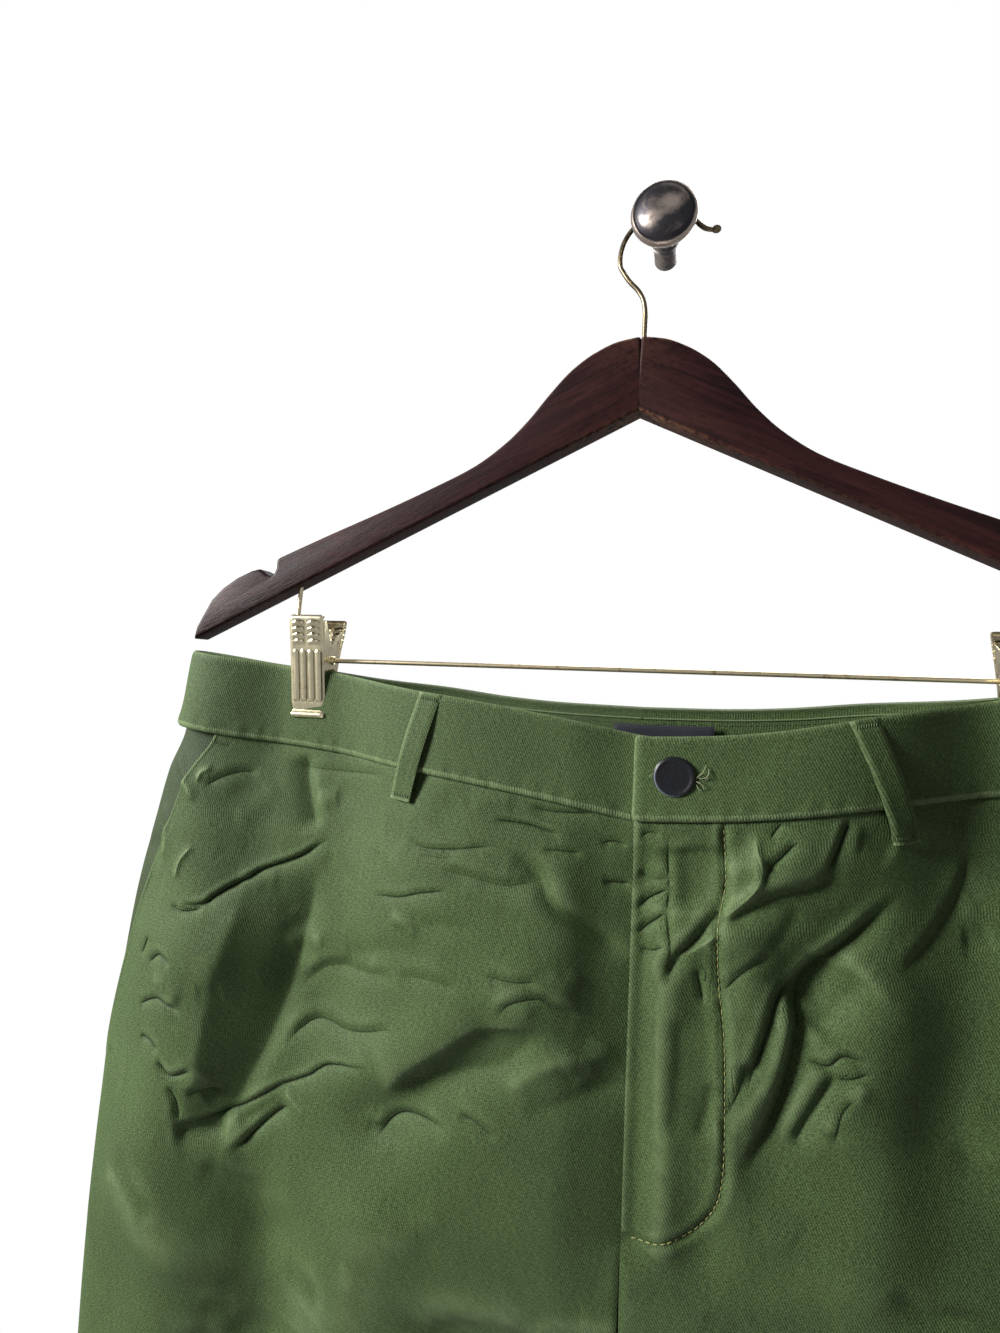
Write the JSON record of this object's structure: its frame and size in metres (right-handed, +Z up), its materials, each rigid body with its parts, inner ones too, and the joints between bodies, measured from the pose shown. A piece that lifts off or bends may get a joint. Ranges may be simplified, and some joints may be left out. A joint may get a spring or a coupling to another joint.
{
  "type": "chino shorts on a clip hanger and wall knob",
  "caption": "Olive cotton chino shorts clipped by the waistband to a dark wooden trouser hanger that hangs from a round wall knob.",
  "frame": {"origin": "centre of the wall knob's flat back, where it meets the wall", "axes": "+X to the viewer's right (the wearer's left), +Y into the wall, +Z up"},
  "size_m": [0.5632, 0.062, 0.7264],
  "materials": {
    "olive_twill": "cotton sateen twill, soft sheen",
    "pocket_twill": "the same twill, in the shade of the pocket mouth",
    "zip_tape": "matte woven tape",
    "navy_label": "satin woven, blank",
    "black_button": "satin, blank",
    "mahogany": "dark stained, satin lacquer",
    "pale_brass": "bright plated",
    "antique_iron": "rubbed antique metal"
  },
  "bodies": {
    "root": {"back_label": "navy_label", "back_left": "olive_twill", "back_right": "olive_twill", "belt_loop_back_left": "olive_twill", "belt_loop_back_right": "olive_twill", "belt_loop_front_left": "olive_twill", "belt_loop_front_right": "olive_twill", "belt_loop_side_back_left": "olive_twill", "belt_loop_side_back_right": "olive_twill", "button": "black_button", "clip_back_left": "pale_brass", "clip_back_right": "pale_brass", "clip_front_left": "pale_brass", "clip_front_right": "pale_brass", "fly_shield": "olive_twill", "front_left": "olive_twill", "front_right": "olive_twill", "hanger_arm_left": "mahogany", "hanger_arm_right": "mahogany", "hanger_bar": "pale_brass", "hanger_hook": "pale_brass", "pocket_facing_left": "pocket_twill", "pocket_facing_right": "pocket_twill", "waistband_left": "olive_twill", "waistband_right": "olive_twill", "wall_knob": "antique_iron", "zip_slider": "pale_brass", "zip_strip": "zip_tape"}
  },
  "joints": []
}
